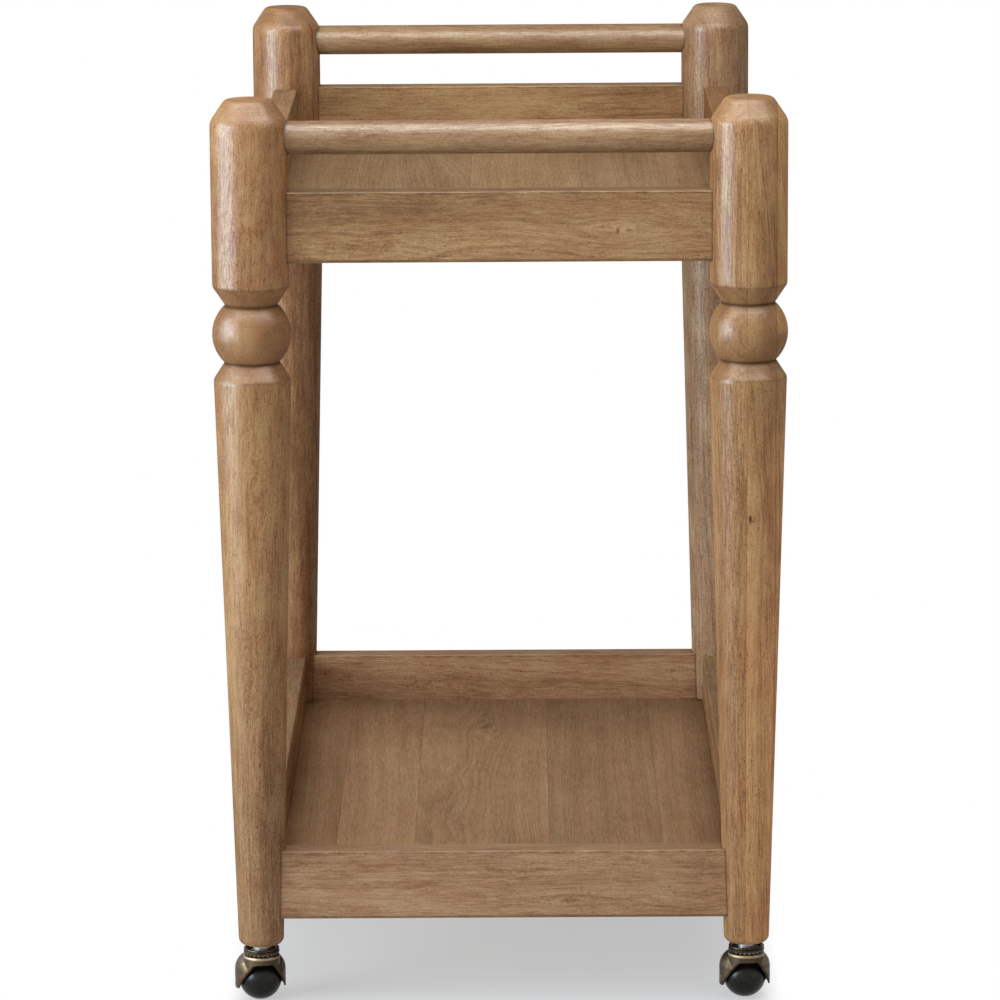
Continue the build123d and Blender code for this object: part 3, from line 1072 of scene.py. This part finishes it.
def buildBallRing():
    tree = bpy.data.node_groups.new("ballRing", "GeometryNodeTree")
    sockets = {
        "Geometry": "Geometry",
        "Pitch Radius": "Float",
        "Ball Radius": "Float",
        "Count": "Int",
        "Middle": "Vector",
        "Finish": "Material",
    }
    for label, kind in sockets.items():
        tree.interface.new_socket(label, in_out="INPUT", socket_type="NodeSocket" + kind)
    tree.interface.new_socket("Geometry", in_out="OUTPUT", socket_type="NodeSocketGeometry")
    given = tree.nodes.new("NodeGroupInput").outputs
    out = tree.nodes.new("NodeGroupOutput").inputs

    def step(kind, inputs):
        return addNode(tree, kind, inputs=inputs).outputs[0]

    circle = step("GeometryNodeMeshCircle", {"Vertices": given["Count"], "Radius": given["Pitch Radius"]})
    ball = step("GeometryNodeMeshUVSphere", {**ballMesh, "Radius": given["Ball Radius"]})
    smooth = step("GeometryNodeSetShadeSmooth", {0: ball})
    balls = step("GeometryNodeInstanceOnPoints", {"Points": circle, "Instance": smooth})
    placed = step("GeometryNodeTransform", {"Geometry": balls, "Translation": given["Middle"]})
    real = step("GeometryNodeRealizeInstances", {0: placed})
    finished = step("GeometryNodeSetMaterial", {"Geometry": real, "Material": given["Finish"]})
    tree.links.new(finished, out[0])
    return tree


def makeWithTree(name, tree, values):
    maker = bpy.data.objects.new(name + "Maker", bpy.data.meshes.new(name + "Maker"))
    bpy.context.scene.collection.objects.link(maker)
    modifier = maker.modifiers.new("shape", "NODES")
    modifier.node_group = tree
    for item in tree.interface.items_tree:
        if item.in_out == "INPUT" and item.name in values:
            modifier[item.identifier] = values[item.name]
    graph = bpy.context.evaluated_depsgraph_get()
    mesh = bpy.data.meshes.new_from_object(maker.evaluated_get(graph))
    mesh.name = name
    bpy.data.objects.remove(maker)
    piece = bpy.data.objects.new(name, mesh)
    bpy.context.scene.collection.objects.link(piece)
    return piece


ballRing = buildBallRing()
for corner, (acrossSign, alongSign) in corners.items():
    values = {
        "Pitch Radius": ballRace["pitchRadius"],
        "Ball Radius": ballRace["ballRadius"],
        "Count": ballRace["count"],
        "Middle": (acrossSign * cart["halfAcross"], alongSign * cart["halfAlong"], ballRace["height"]),
        "Finish": metals["bearingSteel"],
    }
    piece = makeWithTree("bearingBalls_" + corner, ballRing, values)
    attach(piece, "frame")
    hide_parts("caster_ball_race_" + corner)
print("casters finished")

# Floor and world. The floor looks white to the camera and in mirrors past the reach of the cart's shadow
studio = {
    "ambient": 0.18,
    "floorSize": 60.0,
    "floorColour": (0.7, 0.7, 0.7, 1),
    "seenColour": (0.25, 0.262, 0.27, 1),
    "seenGlow": 0.495,
    "shadowReach": (0.232, 0.42),
    "clearWithin": (0.035, 0.16),
}


# Rays that show the background: straight from the camera, mirrored or let through
def seenDirectly(tree):
    rays = addNode(tree, "ShaderNodeLightPath").outputs
    mirrored = calc(tree, "MAXIMUM", rays["Is Glossy Ray"], rays["Is Transmission Ray"])
    return calc(tree, "MAXIMUM", rays["Is Camera Ray"], mirrored)


def lightWorld():
    world = bpy.data.worlds.new("studio")
    bpy.context.scene.world = world
    world.use_nodes = True
    tree = world.node_tree
    backdrop = tree.nodes["Background"].inputs
    backdrop["Color"].default_value = (1, 1, 1, 1)
    linkAll(tree, {"Strength": between(tree, seenDirectly(tree), studio["ambient"], 1.0)}, backdrop)


def floorMaterial():
    material, tree, coordinates = startMaterial("paleFloor")
    tree.nodes.remove(tree.nodes["Principled BSDF"])
    place = vectorCalc(tree, "ABSOLUTE", coordinates["Object"])
    beyond = axesOf(tree, vectorCalc(tree, "SUBTRACT", place, (*studio["shadowReach"], 0.0)))
    clearEdges = [ramp(tree, beyond[axis], 0.0, within) for axis, within in zip("XY", studio["clearWithin"])]
    clear = calc(tree, "MAXIMUM", *clearEdges)

    def surface(kind, inputs):
        return addNode(tree, "ShaderNode" + kind, inputs=inputs).outputs[0]

    plain = surface("BsdfDiffuse", {"Color": studio["floorColour"]})
    shaded = surface("BsdfDiffuse", {"Color": studio["seenColour"]})
    glow = surface("Emission", {"Strength": studio["seenGlow"]})
    white = surface("Emission", {"Strength": 1.0})
    seen = surface("MixShader", {0: clear, 1: surface("AddShader", {0: shaded, 1: glow}), 2: white})
    whole = surface("MixShader", {0: seenDirectly(tree), 1: plain, 2: seen})
    linkAll(tree, {"Surface": whole}, tree.nodes["Material Output"].inputs)
    return material


def layFloor():
    bpy.ops.mesh.primitive_plane_add(size=studio["floorSize"])
    floor = bpy.context.object
    floor.name = "floor"
    floor.data.materials.append(floorMaterial())


lightWorld()
layFloor()

# Lamps: the two sheens show only where wood or metal shines, and light nothing dull
lamps = {
    "frontTop": {
        "place": (-0.1, -0.62, 1.75),
        "aim": (0.0, 0.0, 1.1),
        "size": (3.0, 1.4),
        "radiance": 1.6,
        "colour": (0.96, 1.02, 1.06),
    },
    "overhead": {
        "place": (0.0, 0.2, 2.7),
        "aim": (0.0, 0.1, 0.4),
        "size": (3.0, 2.2),
        "radiance": 0.4,
    },
    "farLeft": {
        "place": (-3.4, -2.2, 1.3),
        "aim": (0.0, -0.3, 0.5),
        "size": (2.4, 2.4),
        "radiance": 6.9,
        "colour": (0.94, 1.08, 1.18),
    },
    "front": {
        "place": (0.0, -4.0, 1.6),
        "aim": (0.0, 0.0, 0.5),
        "size": (4.0, 2.4),
        "radiance": 0.3,
    },
    "back": {
        "place": (0.3, 2.2, 2.4),
        "aim": (0.0, 0.2, 0.5),
        "size": (3.2, 1.4),
        "radiance": 0.5,
    },
    "lowRight": {
        "place": (2.6, -2.2, 0.35),
        "aim": (0.1, -0.2, 0.3),
        "size": (1.6, 0.9),
        "radiance": 1.1,
    },
    "leftSheen": {
        "place": (-1.5, -0.9, 0.9),
        "aim": (0.0, -0.9, 0.9),
        "size": (1.4, 1.2),
        "radiance": 19.0,
        "colour": (0.9, 1.17, 1.37),
        "glossyOnly": True,
    },
    "topSheen": {
        "place": (-0.12, -0.68, 1.86),
        "aim": (-0.12, -0.6, 0.8),
        "size": (2.7, 0.8),
        "radiance": 12.0,
        "colour": (0.89, 1.06, 1.2),
        "glossyOnly": True,
    },
}


def hangLamp(name, lamp):
    light = bpy.data.lights.new(name, "AREA")
    light.shape = "RECTANGLE"
    light.size, light.size_y = lamp["size"]
    light.color = lamp.get("colour", (1.0, 1.0, 1.0))
    light.energy = lamp["radiance"] * math.pi * light.size * light.size_y
    holder = bpy.data.objects.new(name, light)
    holder.location = lamp["place"]
    direction = Vector(lamp["aim"]) - Vector(lamp["place"])
    holder.rotation_euler = direction.to_track_quat("-Z", "Y").to_euler()
    holder.visible_diffuse = not lamp.get("glossyOnly", False)
    bpy.context.scene.collection.objects.link(holder)


for name, lamp in lamps.items():
    hangLamp(name, lamp)
bpy.context.scene.view_settings.view_transform = "Standard"
print("studio lit")
